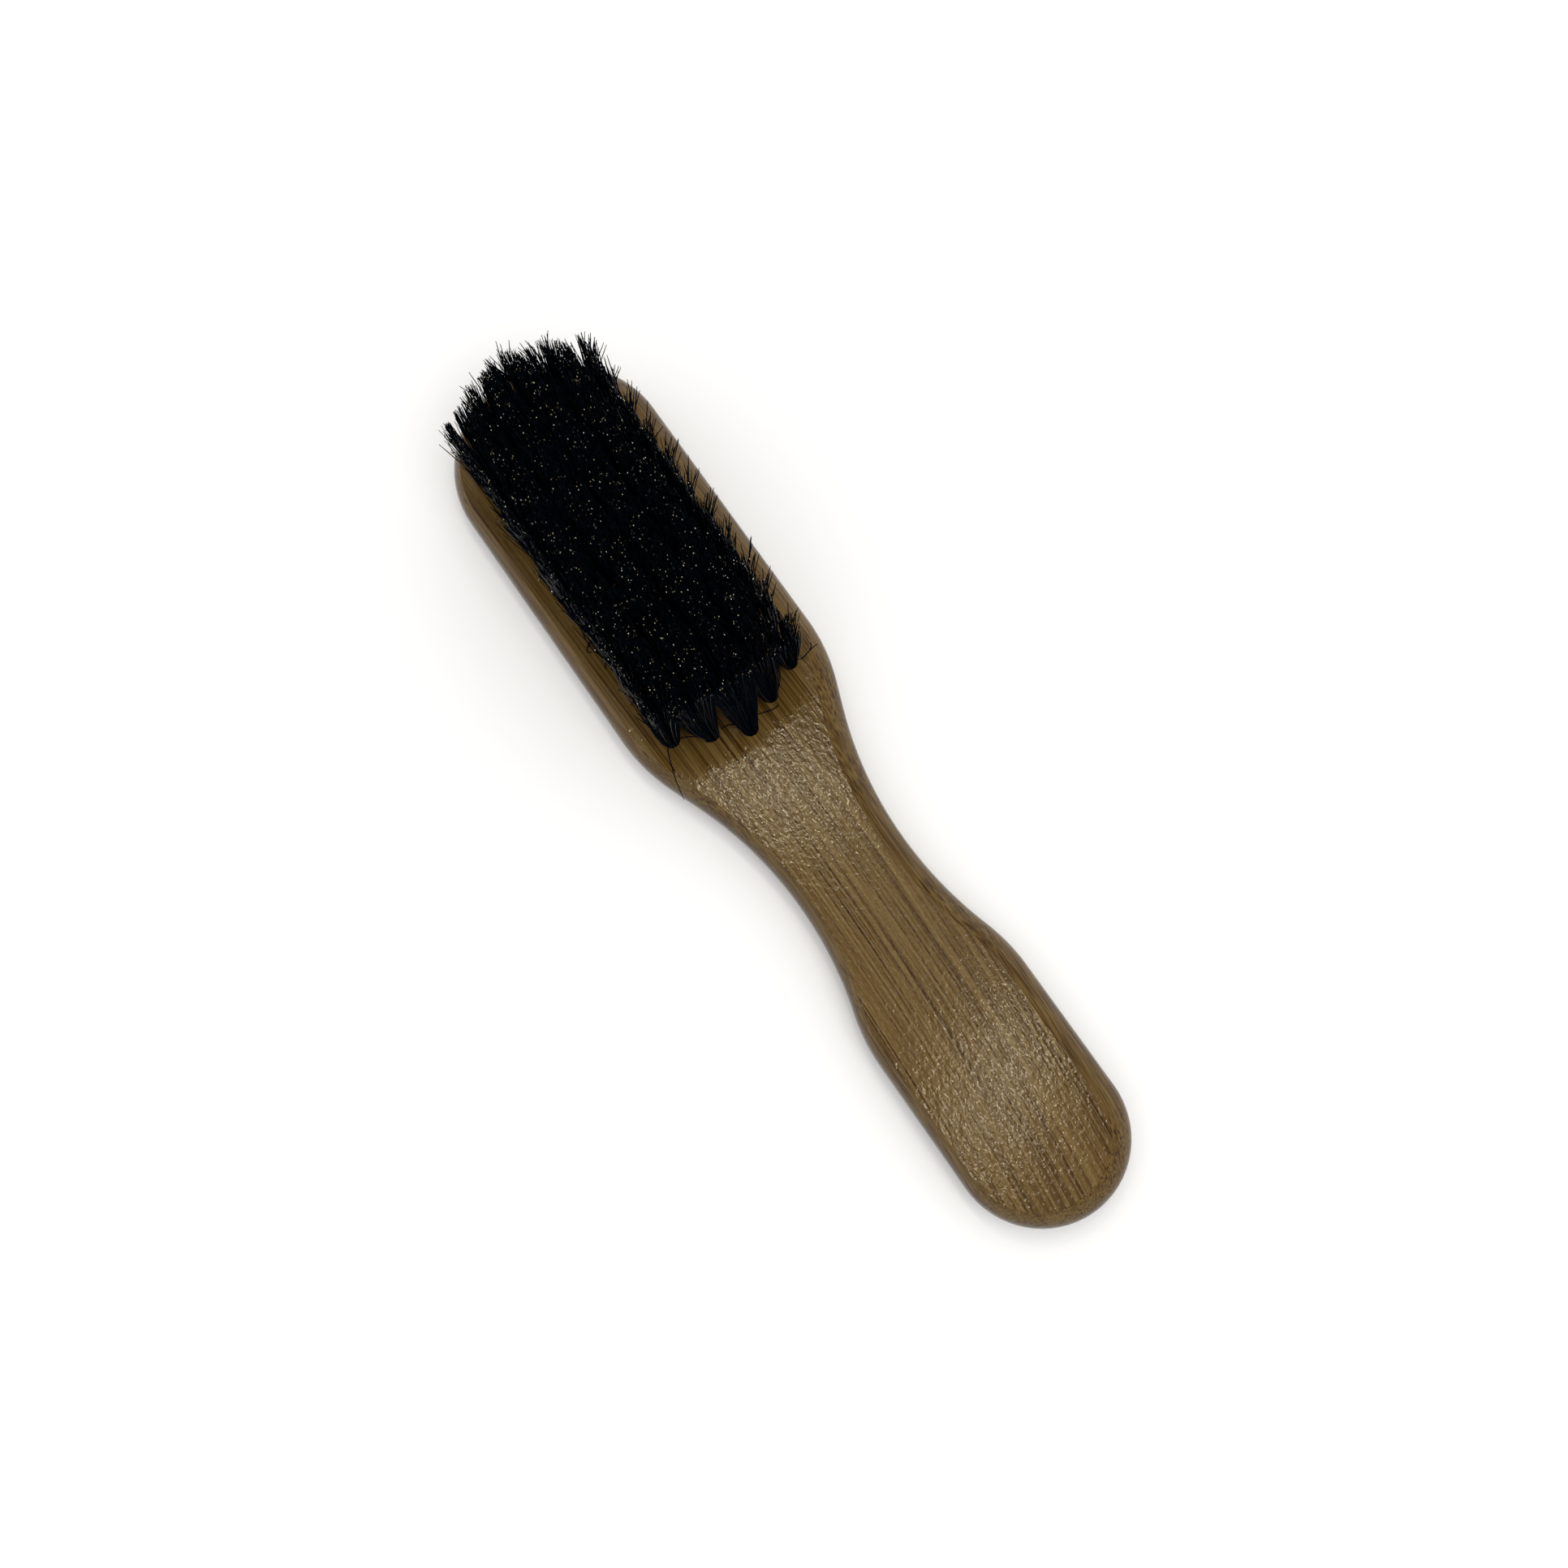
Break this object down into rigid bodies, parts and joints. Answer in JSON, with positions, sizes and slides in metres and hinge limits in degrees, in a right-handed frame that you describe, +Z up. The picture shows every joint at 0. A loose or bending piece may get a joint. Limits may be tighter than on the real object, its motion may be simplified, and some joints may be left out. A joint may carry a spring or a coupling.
{
  "type": "fade brush",
  "caption": "Flat bamboo barber's brush with a waisted grip and a dense pad of black bristle tufts on one face, each anchored in its own blind hole.",
  "frame": {"origin": "centre of the brush's outline, on the flat back that it lies on", "axes": "+X along the brush towards the tail of the grip, +Y across it, +Z up through the bristles"},
  "size_m": [0.18, 0.0391, 0.032],
  "materials": {
    "bamboo": "satin clear lacquer over laminated bamboo, grain along the brush",
    "bristle": "black dyed boar bristle, slight gloss, some pale cut tips",
    "anchor_wire": "plain drawn flat wire"
  },
  "bodies": {
    "root": {"handle": "bamboo", "tufts_rank_01": "bristle", "anchors_rank_01": "anchor_wire", "tufts_rank_02": "bristle", "anchors_rank_02": "anchor_wire", "tufts_rank_03": "bristle", "anchors_rank_03": "anchor_wire", "tufts_rank_04": "bristle", "anchors_rank_04": "anchor_wire", "tufts_rank_05": "bristle", "anchors_rank_05": "anchor_wire", "tufts_rank_06": "bristle", "anchors_rank_06": "anchor_wire", "tufts_rank_07": "bristle", "anchors_rank_07": "anchor_wire", "tufts_rank_08": "bristle", "anchors_rank_08": "anchor_wire", "tufts_rank_09": "bristle", "anchors_rank_09": "anchor_wire", "tufts_rank_10": "bristle", "anchors_rank_10": "anchor_wire", "tufts_rank_11": "bristle", "anchors_rank_11": "anchor_wire", "tufts_rank_12": "bristle", "anchors_rank_12": "anchor_wire", "tufts_rank_13": "bristle", "anchors_rank_13": "anchor_wire", "tufts_rank_14": "bristle", "anchors_rank_14": "anchor_wire", "tufts_rank_15": "bristle", "anchors_rank_15": "anchor_wire", "tufts_rank_16": "bristle", "anchors_rank_16": "anchor_wire", "tufts_rank_17": "bristle", "anchors_rank_17": "anchor_wire", "tufts_rank_18": "bristle", "anchors_rank_18": "anchor_wire", "tufts_rank_19": "bristle", "anchors_rank_19": "anchor_wire", "tufts_rank_20": "bristle", "anchors_rank_20": "anchor_wire", "tufts_rank_21": "bristle", "anchors_rank_21": "anchor_wire", "tufts_rank_22": "bristle", "anchors_rank_22": "anchor_wire", "tufts_rank_23": "bristle", "anchors_rank_23": "anchor_wire", "tufts_rank_24": "bristle", "anchors_rank_24": "anchor_wire", "tufts_rank_25": "bristle", "anchors_rank_25": "anchor_wire"}
  },
  "joints": []
}
